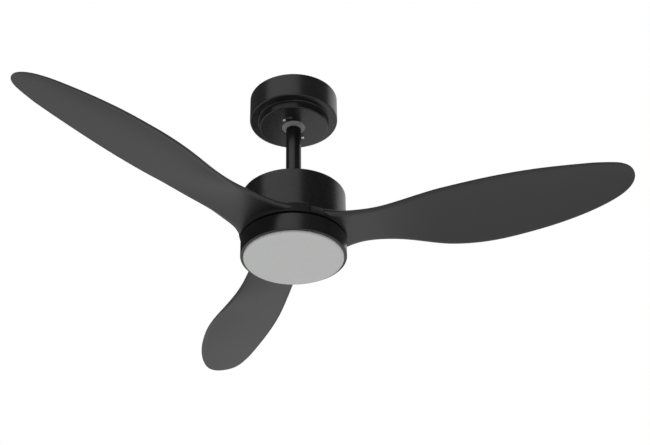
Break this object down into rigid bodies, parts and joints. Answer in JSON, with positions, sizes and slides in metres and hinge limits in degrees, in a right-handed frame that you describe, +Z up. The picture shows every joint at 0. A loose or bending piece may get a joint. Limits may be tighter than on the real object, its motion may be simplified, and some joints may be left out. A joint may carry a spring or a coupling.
{
  "type": "ceiling fan with light",
  "caption": "Short-rod ceiling fan with swept moulded blades under a drum motor housing, a stepped round canopy and a flat round light with a twist-off opal lens.",
  "frame": {"origin": "middle of the hanger bracket's ceiling face, on the fan's axis", "axes": "+Z up into the ceiling along the rod; the side first seen is -Y; +X to the right from there"},
  "size_m": [0.9067, 0.9062, 0.318],
  "materials": {
    "black_steel": "satin black powder coat",
    "black_plastic": "satin black moulding",
    "zinc_steel": "zinc plated",
    "bright_screw": "nickel plated",
    "grey_polymer": "satin",
    "white_plastic": "satin",
    "cast_alloy": "die cast",
    "lamination": "stacked electrical steel",
    "copper": "enamelled copper wire",
    "magnet": "sintered ferrite",
    "bearing_steel": "ground",
    "cage_brass": "pressed",
    "board_green": "solder mask",
    "board_white": "white solder mask",
    "led_yellow": "phosphor",
    "white_paint": "satin white",
    "opal": "frosted opal",
    "loom_sleeve": "braided sleeve",
    "rubber_black": "moulded"
  },
  "bodies": {
    "ceiling_mount": {"hanger_bracket": "zinc_steel", "canopy": "black_steel", "canopy_screws": "bright_screw", "receiver_case": "white_plastic", "receiver_lid": "white_plastic", "receiver_board": "board_green", "receiver_screws": "zinc_steel", "terminal_block": "white_plastic", "terminal_clamps": "zinc_steel", "terminal_screw": "zinc_steel", "ground_screw": "cage_brass"},
    "hanger": {"hanger_ball": "grey_polymer", "ball_pin": "zinc_steel", "ball_set_screw": "zinc_steel", "downrod": "black_steel", "yoke": "black_steel", "clevis_pin": "zinc_steel", "cotter_clip": "zinc_steel", "yoke_set_screws": "zinc_steel", "upper_housing": "black_steel", "housing_screws": "black_steel", "motor_shaft": "zinc_steel", "stator_hub": "cast_alloy", "stator_core": "lamination", "coil_bobbins": "white_plastic", "stator_windings": "copper", "upper_bearing_inner_race": "bearing_steel", "lower_bearing_inner_race": "bearing_steel", "light_base_plate": "zinc_steel", "shaft_nuts": "zinc_steel", "light_housing": "black_plastic", "light_housing_screws": "zinc_steel", "standoffs": "zinc_steel", "led_tray": "white_paint", "tray_screws": "zinc_steel", "led_board": "board_white", "led_chips": "led_yellow", "led_driver": "white_plastic", "wire_loom": "loom_sleeve", "loom_grommets": "rubber_black", "loom_plug": "white_plastic"},
    "rotor": {"upper_bearing_outer_race": "bearing_steel", "upper_bearing_balls": "bearing_steel", "upper_bearing_cage": "cage_brass", "lower_bearing_outer_race": "bearing_steel", "lower_bearing_balls": "bearing_steel", "lower_bearing_cage": "cage_brass", "rotor_upper_shell": "cast_alloy", "rotor_lower_shell": "cast_alloy", "rotor_shell_screws": "zinc_steel", "magnets": "magnet", "blade_a": "black_plastic", "blade_b": "black_plastic", "blade_c": "black_plastic", "blade_screws": "zinc_steel"},
    "lens": {"lens": "opal"}
  },
  "joints": [
    {"name": "ball_tilt", "type": "hinge", "parent": "ceiling_mount", "child": "hanger", "pos_m": [0, 0, -0.037], "axis": [0, 1, 0], "range_deg": [-15, 15]},
    {"name": "rotor_spin", "type": "hinge", "parent": "hanger", "child": "rotor", "pos_m": [0, 0, -0.2525], "axis": [0, 0, 1], "continuous": true},
    {"name": "lens_twist", "type": "hinge", "parent": "hanger", "child": "lens", "pos_m": [0, 0, -0.3], "axis": [0, 0, 1], "range_deg": [0, 25]}
  ]
}
